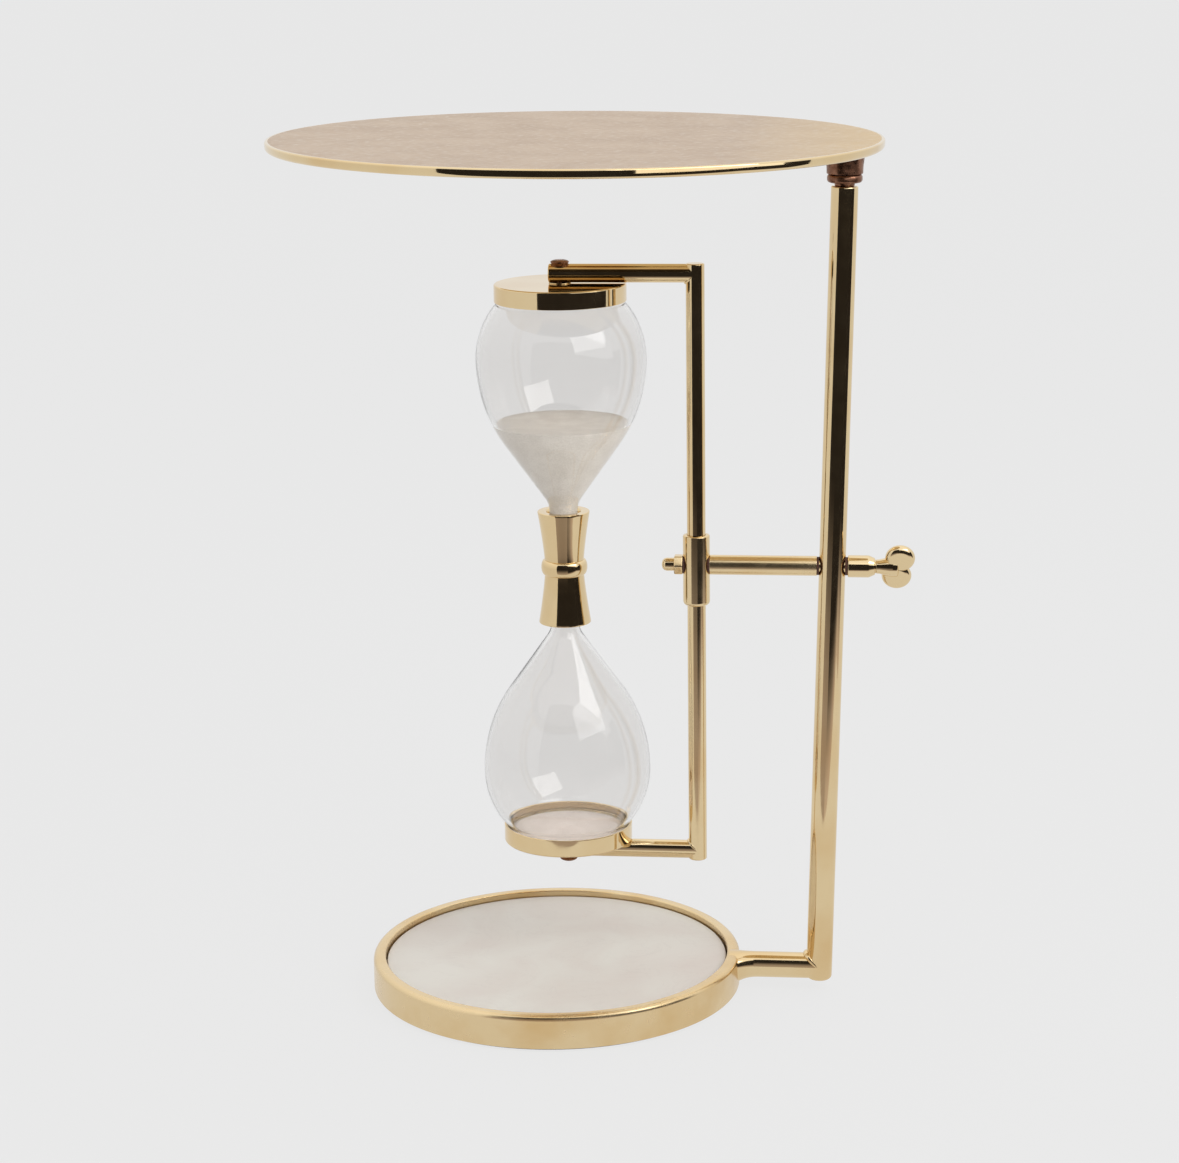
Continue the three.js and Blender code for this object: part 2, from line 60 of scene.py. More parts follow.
# Colours, shader nodes and the few shape tools that all pieces share
def linearColour(hexValue, alpha=1.0):
    channels = [int(hexValue[i:i + 2], 16) / 255 for i in (1, 3, 5)]
    return (*[c / 12.92 if c <= 0.04045 else ((c + 0.055) / 1.055) ** 2.4 for c in channels], alpha)


def addNode(tree, kind, inputs=None, **settings):
    node = tree.nodes.new("ShaderNode" + kind)
    for key, value in settings.items():
        setattr(node, key, value)
    for key, value in (inputs or {}).items():
        if isinstance(value, bpy.types.NodeSocket):
            tree.links.new(value, node.inputs[key])
        else:
            node.inputs[key].default_value = value
    return node


def boxMiddle(node):
    low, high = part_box(node)
    return (low + high) / 2 / mm


# Outline points are (radius, height) in mm. One that starts on the axis stays open, any other is closed
def turn(outline, steps=96):
    shape = bmesh.new()
    points = [shape.verts.new((max(r, 0) * mm, 0, z * mm)) for r, z in outline]
    pairs = list(zip(points, points[1:]))
    if outline[0][0] > 0:
        pairs.append((points[-1], points[0]))
    edges = [shape.edges.new(pair) for pair in pairs]
    bmesh.ops.spin(shape, geom=points + edges, cent=(0, 0, 0), axis=(0, 0, 1), angle=2 * math.pi,
                   steps=steps, use_merge=True, use_duplicate=False)
    cleanUp(shape)
    return shape


def cleanUp(shape):
    bmesh.ops.remove_doubles(shape, verts=shape.verts, dist=1e-7)
    bmesh.ops.dissolve_degenerate(shape, edges=shape.edges, dist=1e-8)
    bmesh.ops.recalc_face_normals(shape, faces=shape.faces)


# Rounds the edges that turn by more than an angle, where a test on the edge's middle in mm allows it
def roundEdges(shape, width, segments=3, angle=30, where=None):
    chosen = [e for e in shape.edges if len(e.link_faces) == 2
              and e.calc_face_angle(0) > math.radians(angle)
              and (where is None or where((e.verts[0].co + e.verts[1].co) / 2 / mm))]
    bmesh.ops.bevel(shape, geom=chosen, offset=width * mm, offset_type="OFFSET", affect="EDGES",
                    segments=segments, profile=0.5, material=-1, clamp_overlap=True)
    return shape


def place(shape, x=0.0, y=0.0, z=0.0, turned=None):
    matrix = Matrix.Translation(Vector((x, y, z)) * mm)
    if turned is not None:
        matrix = matrix @ turned
    bmesh.ops.transform(shape, matrix=matrix, verts=shape.verts)
    return shape


alongX = Matrix.Rotation(math.pi / 2, 4, "Y")
alongY = Matrix.Rotation(math.pi / 2, 4, "X")
upsideDown = Matrix.Rotation(math.pi, 4, "X")


# A rod from z = 0 up, with both ends rounded over
def rod(radius, length, foot, head, steps=64):
    shape = turn([(0, 0), (radius, 0), (radius, length), (0, length)], steps)
    roundEdges(shape, foot, where=lambda p: p.z < length / 2)
    roundEdges(shape, head, where=lambda p: p.z > length / 2 and math.hypot(p.x, p.y) > radius * 0.5)
    return shape


def washer(bore, radius, low, high, steps=48):
    return turn([(bore, low), (radius, low), (radius, high), (bore, high)], steps)


# A tapering bead of braze along a path in mm
def bead(path, radii, sides=12):
    shape = bmesh.new()
    before = None
    for i, (point, radius) in enumerate(zip(path, radii)):
        ahead = Vector(path[min(i + 1, len(path) - 1)]) - Vector(path[max(i - 1, 0)])
        stand = Matrix.Translation(Vector(point) * mm) @ ahead.to_track_quat("Z", "Y").to_matrix().to_4x4()
        made = bmesh.ops.create_circle(shape, segments=sides, radius=radius * mm, matrix=stand)["verts"]
        ring = list({e for v in made for e in v.link_edges})
        if before:
            bmesh.ops.bridge_loops(shape, edges=before + ring)
        before = ring
    bmesh.ops.holes_fill(shape, edges=shape.edges, sides=sides)
    cleanUp(shape)
    return shape


def finishPiece(name, shape, material, body, replaced=(), sharpAngle=40):
    mesh = bpy.data.meshes.new(name)
    shape.to_mesh(mesh)
    shape.free()
    mesh.materials.append(material)
    mesh.shade_smooth()
    mesh.set_sharp_from_angle(angle=math.radians(sharpAngle))
    piece = bpy.data.objects.new(name, mesh)
    bpy.context.scene.collection.objects.link(piece)
    even = piece.modifiers.new("even shading", "WEIGHTED_NORMAL")
    even.keep_sharp = True
    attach(piece, body)
    if replaced:
        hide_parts(*([replaced] if isinstance(replaced, str) else replaced))
    return piece


def arcPoints(centreR, centreZ, radius, start, end, count):
    angles = [math.radians(start + (end - start) * i / count) for i in range(count + 1)]
    return [(centreR + radius * math.cos(a), centreZ + radius * math.sin(a)) for a in angles]


# The camera stands a little to the right of the object and looks down on it
camera = dict(x=133.10, y=-1095.09, z=431.53, left=6.159, down=13.744, roll=-0.783, lens=91.056)
yaw, pitch, roll = (math.radians(camera[key]) for key in ("left", "down", "roll"))
ahead = Vector((-math.sin(yaw) * math.cos(pitch), math.cos(yaw) * math.cos(pitch), -math.sin(pitch)))
level = Vector((math.cos(yaw), math.sin(yaw), 0))
over = level.cross(ahead)
right = math.cos(roll) * level + math.sin(roll) * over
upward = -math.sin(roll) * level + math.cos(roll) * over
lensData = bpy.data.cameras.new("camera")
lensData.lens = camera["lens"]
lensData.sensor_width = 36
lensData.sensor_fit = "HORIZONTAL"
lensData.clip_start, lensData.clip_end = 0.05, 100
cameraObject = bpy.data.objects.new("camera", lensData)
bpy.context.scene.collection.objects.link(cameraObject)
cameraObject.matrix_world = Matrix((
    (right.x, upward.x, -ahead.x, camera["x"] * mm),
    (right.y, upward.y, -ahead.y, camera["y"] * mm),
    (right.z, upward.z, -ahead.z, camera["z"] * mm),
    (0, 0, 0, 1)))
bpy.context.scene.camera = cameraObject
bpy.context.scene.view_settings.view_transform = "Standard"
bpy.context.scene.view_settings.look = "None"
print("camera done")


# A pale floor, soft light, and dark cards that only the reflections see
studio = dict(floorHalf=30.0, floorGlow=0.752, floorColour="#464646", surround=0.807,
              mirrorLow=0.80, mirrorHigh=1.15, domeLow=0.55, domeHigh=2.3,
              keyAzimuth=50, keyHeight=36, keyDistance=1.25, keyWide=1.05, keyTall=0.66, keyPower=6.5,
              fillPower=3.0)

world = bpy.data.worlds.new("studio")
bpy.context.scene.world = world
world.use_nodes = True
tree = world.node_tree
background = tree.nodes["Background"]
path = addNode(tree, "LightPath")
direction = addNode(tree, "TexCoord")
parts = addNode(tree, "SeparateXYZ", {"Vector": direction.outputs["Generated"]})
climb = addNode(tree, "MapRange", {"Value": parts.outputs["Z"], "From Min": -0.1, "From Max": 0.9,
                                   "To Min": studio["mirrorLow"], "To Max": studio["mirrorHigh"]})
seen = addNode(tree, "Mix", {"Factor": path.outputs["Is Glossy Ray"], "A": studio["surround"],
                             "B": climb.outputs["Result"]}, data_type="FLOAT")
dome = addNode(tree, "MapRange", {"Value": parts.outputs["Z"], "From Min": 0.0, "From Max": 0.7,
                                  "To Min": studio["domeLow"], "To Max": studio["domeHigh"]})
scattered = addNode(tree, "Math", {0: path.outputs["Diffuse Depth"], 1: 0.5}, operation="GREATER_THAN")
behindGlass = addNode(tree, "Math", {0: scattered.outputs["Value"], 1: path.outputs["Is Transmission Ray"]},
                      operation="MULTIPLY")
strength = addNode(tree, "Mix", {"Factor": behindGlass.outputs["Value"], "A": seen.outputs["Result"],
                                 "B": dome.outputs["Result"]}, data_type="FLOAT")
tree.links.new(strength.outputs["Result"], background.inputs["Strength"])
background.inputs["Color"].default_value = (1, 1, 1, 1)


def glowMaterial(name, colour, glow):
    material = bpy.data.materials.new(name)
    material.use_nodes = True
    shader = material.node_tree.nodes["Principled BSDF"]
    shader.inputs["Base Color"].default_value = linearColour(colour)
    shader.inputs["Roughness"].default_value = 1.0
    shader.inputs["Specular IOR Level"].default_value = 0.0
    shader.inputs["Emission Color"].default_value = (1, 1, 1, 1)
    shader.inputs["Emission Strength"].default_value = glow
    return material


floorShape = bmesh.new()
bmesh.ops.create_grid(floorShape, x_segments=2, y_segments=2, size=studio["floorHalf"])
floorMesh = bpy.data.meshes.new("floor")
floorShape.to_mesh(floorMesh)
floorShape.free()
floorMesh.materials.append(glowMaterial("matte paper sweep", studio["floorColour"], studio["floorGlow"]))
floor = bpy.data.objects.new("floor", floorMesh)
bpy.context.scene.collection.objects.link(floor)

# Each card stands along a line in mm; its glow falls from a pale foot to a dark head between two heights
cards = [
    dict(name="left_flag", line=[(-128, -215, 372), (100, -215, 372)], foot=0.42, head=0.021, fade=(20, 165)),
    dict(name="right_flag", line=[(100, -215, 306), (520, -215, 278)], foot=0.6, head=0.021, fade=(0, 85)),
    dict(name="low_side_flag", line=[(520, -215, 278), (520, -100, 278)], foot=0.6, head=0.021, fade=(0, 85)),
    dict(name="side_flag", line=[(520, -100, 330), (520, 10, 330)], foot=0.6, head=0.021, fade=(0, 85)),
    dict(name="front_bounce", line=[(100, -240, 470), (545, -240, 470)], foot=1.3, head=1.3, fade=(0, 400)),
    dict(name="side_bounce", line=[(545, -240, 470), (545, -100, 470)], foot=1.3, head=1.3, fade=(0, 400)),
]


def cardMaterial(card):
    material = glowMaterial(card["name"] + " paint", "#050505", 1.0)
    shader = material.node_tree.nodes["Principled BSDF"]
    shader.inputs["Emission Color"].default_value = (1, 0.87, 0.84, 1) if card["head"] < 1 else (1, 1, 1, 1)
    spot = addNode(material.node_tree, "TexCoord")
    axes = addNode(material.node_tree, "SeparateXYZ", {"Vector": spot.outputs["Object"]})
    glow = addNode(material.node_tree, "MapRange", {
        "Value": axes.outputs["Z"], "From Min": card["fade"][0] * mm, "From Max": card["fade"][1] * mm,
        "To Min": card["foot"], "To Max": card["head"]}, interpolation_type="SMOOTHSTEP")
    material.node_tree.links.new(glow.outputs["Result"], shader.inputs["Emission Strength"])
    return material


for card in cards:
    shape = bmesh.new()
    (x0, y0, z0), (x1, y1, z1) = card["line"]
    corners = [(x0, y0, 0), (x1, y1, 0), (x1, y1, z1), (x0, y0, z0)]
    shape.faces.new([shape.verts.new(Vector(c) * mm) for c in corners])
    cardMesh = bpy.data.meshes.new(card["name"])
    shape.to_mesh(cardMesh)
    shape.free()
    cardMesh.materials.append(cardMaterial(card))
    cardObject = bpy.data.objects.new(card["name"], cardMesh)
    bpy.context.scene.collection.objects.link(cardObject)
    for kind in ("camera", "diffuse", "shadow", "transmission", "volume_scatter"):
        setattr(cardObject, "visible_" + kind, False)


def softLight(name, azimuth, height, distance, wide, tall, power):
    lamp = bpy.data.lights.new(name, "AREA")
    lamp.shape = "RECTANGLE"
    lamp.size, lamp.size_y, lamp.energy = wide, tall, power
    lampObject = bpy.data.objects.new(name, lamp)
    bpy.context.scene.collection.objects.link(lampObject)
    a, h = math.radians(azimuth), math.radians(height)
    away = Vector((math.sin(a) * math.cos(h), -math.cos(a) * math.cos(h), math.sin(h)))
    middle = (cadBox[0] + cadBox[1]) / 2
    lampObject.location = middle + away * distance
    lampObject.rotation_mode = "QUATERNION"
    lampObject.rotation_quaternion = away.to_track_quat("Z", "Y")
    lampObject.visible_camera = False
    return lampObject


softLight("key", studio["keyAzimuth"], studio["keyHeight"], studio["keyDistance"],
          studio["keyWide"], studio["keyTall"], studio["keyPower"])
overhead = softLight("overhead", 0, 88, 1.5, 1.6, 1.6, studio["fillPower"])
overhead.visible_glossy = False
print("studio done")


# Every pattern is in the object's own millimetres
def startMaterial(name):
    material = bpy.data.materials.new(name)
    material.use_nodes = True
    tree = material.node_tree
    coordinates = addNode(tree, "TexCoord")
    millimetres = addNode(tree, "Mapping", {"Vector": coordinates.outputs["Object"],
                                            "Scale": (1000, 1000, 1000)})
    return material, tree, tree.nodes["Principled BSDF"], millimetres.outputs["Vector"]


def brass(name, s):
    material, tree, shader, mmPlace = startMaterial(name)
    shader.inputs["Metallic"].default_value = 1.0
    tone = addNode(tree, "TexNoise", {"Vector": mmPlace, "Scale": 1 / s["toneSize"], "Detail": 3.0})
    toneShare = addNode(tree, "MapRange", {"Value": tone.outputs["Fac"], "From Min": 0.45, "From Max": 0.75})
    colour = addNode(tree, "Mix", {"Factor": toneShare.outputs["Result"], "A": linearColour(s["colour"]),
                                   "B": linearColour(s["tone"])}, data_type="RGBA")
    tree.links.new(colour.outputs["Result"], shader.inputs["Base Color"])
    smudge = addNode(tree, "TexNoise", {"Vector": mmPlace, "Scale": 1 / s["smudgeSize"], "Detail": 4.0})
    rough = addNode(tree, "MapRange", {"Value": smudge.outputs["Fac"], "From Min": 0.35, "From Max": 0.7,
                                       "To Min": s["rough"][0], "To Max": s["rough"][1]})
    tree.links.new(rough.outputs["Result"], shader.inputs["Roughness"])
    wave = addNode(tree, "TexNoise", {"Vector": mmPlace, "Scale": 1 / s["waveSize"], "Detail": 1.0})
    waveBump = addNode(tree, "Bump", {"Height": wave.outputs["Fac"], "Distance": s["waveHeight"] * mm})
    last = waveBump
    if s.get("lay"):
        around = addNode(tree, "Mapping", {"Vector": mmPlace, "Location": s.get("centre", (0, 0, 0))})
        if s["lay"] == "turned":  # fine rings, in radius on flat faces and in height on upright ones
            axes = addNode(tree, "SeparateXYZ", {"Vector": around.outputs["Vector"]})
            flat = addNode(tree, "CombineXYZ", {"X": axes.outputs["X"], "Y": axes.outputs["Y"]})
            radius = addNode(tree, "VectorMath", {0: flat.outputs["Vector"]}, operation="LENGTH")
            walk = addNode(tree, "Math", {0: radius.outputs["Value"], 1: axes.outputs["Z"]}, operation="ADD")
            lines = addNode(tree, "TexNoise", {"W": walk.outputs["Value"], "Scale": 1 / s["lineSize"],
                                               "Detail": 2.0}, noise_dimensions="1D")
        else:  # polishing lines drawn out along a bar
            stretch = {"x": (0.03, 1, 1), "z": (1, 1, 0.03)}[s["lay"]]
            drawn = addNode(tree, "Mapping", {"Vector": mmPlace, "Scale": stretch})
            lines = addNode(tree, "TexNoise", {"Vector": drawn.outputs["Vector"], "Scale": 1 / s["lineSize"],
                                               "Detail": 2.0})
        last = addNode(tree, "Bump", {"Height": lines.outputs["Fac"], "Distance": s["lineHeight"] * mm,
                                      "Normal": waveBump.outputs["Normal"]})
    tree.links.new(last.outputs["Normal"], shader.inputs["Normal"])
    return material


polish = dict(colour="#e5cea3", tone="#dcbd8b", toneSize=35, smudgeSize=6, rough=(0.04, 0.095),
              waveSize=7, waveHeight=0.012)
# Buffed brass bar: mirror bright and pale gold, with the faint ripple that hand buffing leaves along it
barBrassZ = brass("brass bar buffed upright", dict(polish, lay="z", lineSize=0.5, lineHeight=0.0006))
barBrassX = brass("brass bar buffed level", dict(polish, lay="x", lineSize=0.5, lineHeight=0.0006))
# Turned and polished brass: mirror bright with the last faint rings of the lathe
turnedBrass = brass("brass turned and polished", dict(polish, lay="turned", lineSize=0.45, lineHeight=0.0005))
# Brass bar rubbed with fine wool: a soft sheen that blurs what it mirrors
woolBrassZ = brass("brass bar wool rubbed upright", dict(
    polish, lay="z", lineSize=0.4, lineHeight=0.0009, rough=(0.09, 0.15)))
woolBrassX = brass("brass bar wool rubbed level", dict(
    polish, lay="x", lineSize=0.4, lineHeight=0.0009, rough=(0.2, 0.28)))
# Cast ring rubbed down with fine abrasive: soft satin gold with streaks round it
satinBrass = brass("brass cast and satin rubbed", dict(
    colour="#e3cba0", tone="#dabb88", toneSize=22, smudgeSize=9, rough=(0.2, 0.3),
    waveSize=5, waveHeight=0.02, lay="turned", lineSize=0.35, lineHeight=0.0018))
# Small turned fittings: a little duller, as they are dipped rather than buffed
fittingBrass = brass("brass small fittings", dict(
    polish, rough=(0.1, 0.2), toneSize=4, smudgeSize=2, waveSize=2, waveHeight=0.004))
# Bronzed brass: brown chemical patina under thin lacquer, worn lighter in places
bronzed = brass("brass bronzed brown", dict(
    colour="#8a6450", tone="#5c3a2a", toneSize=3.0, smudgeSize=1.5, rough=(0.22, 0.42),
    waveSize=1.6, waveHeight=0.02))


# Sand-cast plate top: matte pinkish beige, with the mould's fine grain and low lumps, and a golden painted
# sheen towards its right end
def castBrassTop():
    s = dict(colour="#c5b29e", tone="#bba793", fleck="#cab9a5", paintedSheen="#d8bf92", toneSize=18, grainSize=0.55,
             grainHeight=0.022, lumpSize=2.6, lumpHeight=0.06, rough=(0.42, 0.6), paintedSheenFrom=70, paintedSheenTo=128)
    material, tree, shader, mmPlace = startMaterial("brass sand cast")
    shader.inputs["Metallic"].default_value = 1.0
    tone = addNode(tree, "TexNoise", {"Vector": mmPlace, "Scale": 1 / s["toneSize"], "Detail": 5.0})
    share = addNode(tree, "MapRange", {"Value": tone.outputs["Fac"], "From Min": 0.35, "From Max": 0.7})
    colour = addNode(tree, "Mix", {"Factor": share.outputs["Result"], "A": linearColour(s["colour"]),
                                   "B": linearColour(s["tone"])}, data_type="RGBA")
    lump = addNode(tree, "TexNoise", {"Vector": mmPlace, "Scale": 1 / s["lumpSize"], "Detail": 2.0})
    grain = addNode(tree, "TexNoise", {"Vector": mmPlace, "Scale": 1 / s["grainSize"], "Detail": 2.0})
    crest = addNode(tree, "MapRange", {"Value": lump.outputs["Fac"], "From Min": 0.58, "From Max": 0.72})
    worn = addNode(tree, "Mix", {"Factor": crest.outputs["Result"], "A": colour.outputs["Result"],
                                 "B": linearColour(s["fleck"])}, data_type="RGBA")
    # Painted sheen: the colour turns golden towards the right end (+X), where the plate catches the light
    # from the right
    axes = addNode(tree, "SeparateXYZ", {"Vector": mmPlace})
    side = addNode(tree, "MapRange", {"Value": axes.outputs["X"], "From Min": s["paintedSheenFrom"],
                                      "From Max": s["paintedSheenTo"], "To Max": 0.7})
    withPaintedSheen = addNode(tree, "Mix", {"Factor": side.outputs["Result"], "A": worn.outputs["Result"],
                                   "B": linearColour(s["paintedSheen"])}, data_type="RGBA")
    tree.links.new(withPaintedSheen.outputs["Result"], shader.inputs["Base Color"])
    rough = addNode(tree, "MapRange", {"Value": lump.outputs["Fac"], "From Min": 0.4, "From Max": 0.7,
                                       "To Min": s["rough"][1], "To Max": s["rough"][0]})
    tree.links.new(rough.outputs["Result"], shader.inputs["Roughness"])
    lumps = addNode(tree, "Bump", {"Height": lump.outputs["Fac"], "Distance": s["lumpHeight"] * mm})
    grains = addNode(tree, "Bump", {"Height": grain.outputs["Fac"], "Distance": s["grainHeight"] * mm,
                                    "Normal": lumps.outputs["Normal"]})
    tree.links.new(grains.outputs["Normal"], shader.inputs["Normal"])
    return material


# Honed marble: pale and cool, faint grey and pink clouds with a few dark specks, soft sheen
def honedMarble():
    s = dict(pale="#dad6ce", cloud="#d3cac2", vein="#9d918b", cloudSize=38, veinSize=26, fleckSize=17)
    material, tree, shader, mmPlace = startMaterial("marble honed")
    warp = addNode(tree, "TexNoise", {"Vector": mmPlace, "Scale": 1 / s["cloudSize"], "Detail": 5.0,
                                      "Distortion": 0.6})
    share = addNode(tree, "MapRange", {"Value": warp.outputs["Fac"], "From Min": 0.35, "From Max": 0.72})
    cloud = addNode(tree, "Mix", {"Factor": share.outputs["Result"], "A": linearColour(s["pale"]),
                                  "B": linearColour(s["cloud"])}, data_type="RGBA")
    crack = addNode(tree, "TexNoise", {"Vector": mmPlace, "Scale": 1 / s["veinSize"], "Detail": 6.0,
                                       "Roughness": 0.6, "Distortion": 1.5})
    nearHalf = addNode(tree, "Math", {0: crack.outputs["Fac"], 1: 0.5}, operation="SUBTRACT")
    apart = addNode(tree, "Math", {0: nearHalf.outputs["Value"]}, operation="ABSOLUTE")
    thread = addNode(tree, "MapRange", {"Value": apart.outputs["Value"], "From Min": 0.0, "From Max": 0.012,
                                        "To Min": 0.08, "To Max": 0.0})
    veined = addNode(tree, "Mix", {"Factor": thread.outputs["Result"], "A": cloud.outputs["Result"],
                                   "B": linearColour(s["vein"])}, data_type="RGBA")
    cell = addNode(tree, "TexVoronoi", {"Vector": mmPlace, "Scale": 1 / s["fleckSize"]})
    speck = addNode(tree, "MapRange", {"Value": cell.outputs["Distance"], "From Min": 0.02, "From Max": 0.05,
                                       "To Min": 0.6, "To Max": 0.0})
    specked = addNode(tree, "Mix", {"Factor": speck.outputs["Result"], "A": veined.outputs["Result"],
                                    "B": linearColour(s["vein"])}, data_type="RGBA")
    tree.links.new(specked.outputs["Result"], shader.inputs["Base Color"])
    rough = addNode(tree, "MapRange", {"Value": warp.outputs["Fac"], "To Min": 0.38, "To Max": 0.5})
    tree.links.new(rough.outputs["Result"], shader.inputs["Roughness"])
    pores = addNode(tree, "TexNoise", {"Vector": mmPlace, "Scale": 2.0, "Detail": 2.0})
    bump = addNode(tree, "Bump", {"Height": pores.outputs["Fac"], "Distance": 0.004 * mm})
    tree.links.new(bump.outputs["Normal"], shader.inputs["Normal"])
    shader.inputs["IOR"].default_value = 1.55
    return material


# Blown soda glass: clear, with the slow waviness of a hand-blown wall
def blownGlass():
    material, tree, shader, mmPlace = startMaterial("glass blown clear")
    shader.inputs["Base Color"].default_value = linearColour("#f5f4f3")
    shader.inputs["Transmission Weight"].default_value = 1.0
    shader.inputs["Roughness"].default_value = 0.015
    shader.inputs["IOR"].default_value = 1.47
    ripple = addNode(tree, "TexNoise", {"Vector": mmPlace, "Scale": 1 / 14, "Detail": 0.0})
    bump = addNode(tree, "Bump", {"Height": ripple.outputs["Fac"], "Distance": 0.05 * mm})
    tree.links.new(bump.outputs["Normal"], shader.inputs["Normal"])
    return material


# Plain matte stuff with a grain: sand, felt, the dark washers and rubber
def matte(name, s):
    material, tree, shader, mmPlace = startMaterial(name)
    grain = addNode(tree, "TexNoise", {"Vector": mmPlace, "Scale": 1 / s["grainSize"], "Detail": 2.0})
    patch = addNode(tree, "TexNoise", {"Vector": mmPlace, "Scale": 1 / s["patchSize"], "Detail": 2.0})
    both = addNode(tree, "Mix", {"Factor": 0.4, "A": grain.outputs["Fac"], "B": patch.outputs["Fac"]},
                   data_type="FLOAT")
    share = addNode(tree, "MapRange", {"Value": both.outputs["Result"], "From Min": 0.4, "From Max": 0.62})
    colour = addNode(tree, "Mix", {"Factor": share.outputs["Result"], "A": linearColour(s["dark"]),
                                   "B": linearColour(s["pale"])}, data_type="RGBA")
    tree.links.new(colour.outputs["Result"], shader.inputs["Base Color"])
    rough = addNode(tree, "MapRange", {"Value": grain.outputs["Fac"], "To Min": s["rough"][0],
                                       "To Max": s["rough"][1]})
    tree.links.new(rough.outputs["Result"], shader.inputs["Roughness"])
    bump = addNode(tree, "Bump", {"Height": grain.outputs["Fac"], "Distance": s["height"] * mm})
    tree.links.new(bump.outputs["Normal"], shader.inputs["Normal"])
    return material


castTop = castBrassTop()
marble = honedMarble()
clearGlass = blownGlass()
# Washed quartz sand: cream and dull; real grains are 0.2 mm, drawn at 0.5 mm so that they show
quartzSand = matte("quartz sand", dict(pale="#f2ece3", dark="#e4ddd3", grainSize=0.5, patchSize=6,
                                       rough=(0.85, 1.0), height=0.12))
# The same sand made darker: painted shade for the thin bed that lies down in the lower cap
shadedSandBed = matte("quartz sand bed painted shade", dict(pale="#d3c9c2", dark="#c6bbb3", grainSize=0.5, patchSize=6,
                                                rough=(0.85, 1.0), height=0.1))
# Pressed wool felt: charcoal with a short soft nap
woolFelt = matte("wool felt pressed", dict(pale="#3b3835", dark="#242220", grainSize=0.4, patchSize=5,
                                           rough=(0.9, 1.0), height=0.15))
# Dark washers: dense red-brown, slightly waxy at the cut edge; the dark red-brown is painted shade for the
# shadow gaps between the pivot parts
gapShadeWashers = matte("dark washers painted gap shade", dict(pale="#5a3120", dark="#3a1d12", grainSize=0.3, patchSize=2,
                                          rough=(0.5, 0.7), height=0.01))
# Silicone rubber: milky and soft, with a dull bloom
paleRubber = matte("silicone rubber", dict(pale="#b5aca7", dark="#a79d98", grainSize=0.6, patchSize=8,
                                           rough=(0.55, 0.7), height=0.01))
print("materials done")


# Base: ring, marble, felt and foot bar
base = dict(outer=71.7, bore=66.9, low=1.0, top=13.9, ledge=6.0, ledgeTop=4.0, edge=2.1, innerEdge=0.7,
            footEdge=0.5, marbleRadius=66.4, marbleTop=11.5, arris=0.5, feltRadius=69.5, feltThick=1.0,
            feltEdge=0.25)

ringShape = turn([(base["bore"] - base["ledge"], base["low"]), (base["outer"], base["low"]),
                  (base["outer"], base["top"]), (base["bore"], base["top"]),
                  (base["bore"], base["ledgeTop"]), (base["bore"] - base["ledge"], base["ledgeTop"])], 192)
roundEdges(ringShape, base["edge"], 5, where=lambda p: math.hypot(p.x, p.y) > base["bore"] + 2 and p.z > 5)
roundEdges(ringShape, base["innerEdge"], 4, 50,
           where=lambda p: math.hypot(p.x, p.y) < base["bore"] + 1 and p.z > 12)
roundEdges(ringShape, base["footEdge"], where=lambda p: p.z < 1.2)
finishPiece("ring", ringShape, satinBrass, "stand", "base_ring")

marbleShape = turn([(0, base["ledgeTop"]), (base["marbleRadius"], base["ledgeTop"]),
                    (base["marbleRadius"], base["marbleTop"]), (0, base["marbleTop"])], 192)
roundEdges(marbleShape, base["arris"], 2)
finishPiece("marble_top", marbleShape, marble, "stand", "marble_disc")

feltShape = turn([(0, 0), (base["feltRadius"], 0), (base["feltRadius"], base["feltThick"]),
                  (0, base["feltThick"])], 128)
roundEdges(feltShape, base["feltEdge"], 2)
finishPiece("felt_pad", feltShape, woolFelt, "stand", "base_felt")

# The foot bar swells into the ring like a trumpet, to the sides and downwards but no higher than itself
postSpec = dict(radius=5.0, lean=1.475, footRound=1.6, headRound=0.6)
lean = math.radians(postSpec["lean"])
postLow, postHigh = (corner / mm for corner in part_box("post"))
postFoot = Vector((postLow.x + postSpec["radius"] * math.cos(lean), 0, postLow.z + 0.1))
footMiddle = postFoot.z + postSpec["radius"]
footBar = dict(start=68.0, swell=3.3, swellLength=10.5, end=postFoot.x + 0.1)
swell = [(postSpec["radius"] + footBar["swell"] * (1 - i / 12) ** 2.6,
          footBar["start"] + 1.5 + footBar["swellLength"] * i / 12) for i in range(13)]
trumpet = turn([(0, footBar["start"]), (swell[0][0], footBar["start"]), *swell,
                (postSpec["radius"], footBar["end"]), (0, footBar["end"])], 64)
place(trumpet, z=footMiddle, turned=alongX)
for v in trumpet.verts:
    out = math.hypot(v.co.y, v.co.z - footMiddle * mm) / mm
    if out > postSpec["radius"] and v.co.z > footMiddle * mm:
        v.co.z = footMiddle * mm + (v.co.z - footMiddle * mm) * postSpec["radius"] / out
finishPiece("foot_bar", trumpet, barBrassX, "stand", (), sharpAngle=50)
print("base done")


# The post leans towards the wing nut
postLength = (postHigh.z - postFoot.z) / math.cos(lean)
leaning = Matrix.Rotation(lean, 4, "Y")
postShape = rod(postSpec["radius"], postLength - 0.1, postSpec["footRound"], postSpec["headRound"], 96)
place(postShape, postFoot.x, 0, postFoot.z, leaning)
finishPiece("post_bar", postShape, barBrassZ, "stand", "post")


# Braze in the crevice of two equal bars that meet square. The arm comes from -X
def crevice(radius, thick, side, sink=0.2):
    pathPoints, radii = [], []
    for i in range(17):
        t = -math.pi / 2 + math.pi * i / 16
        reach = radius - sink
        pathPoints.append((-reach * math.cos(t), reach * math.sin(t), side * reach * math.cos(t)))
        radii.append(0.05 + thick * math.cos(t))
    return bead(pathPoints, radii)


footBraze = crevice(postSpec["radius"], 1.5, 1)
place(footBraze, postFoot.x + 0.1, 0, footMiddle)
finishPiece("foot_braze", footBraze, barBrassZ, "stand", ())
print("post done")


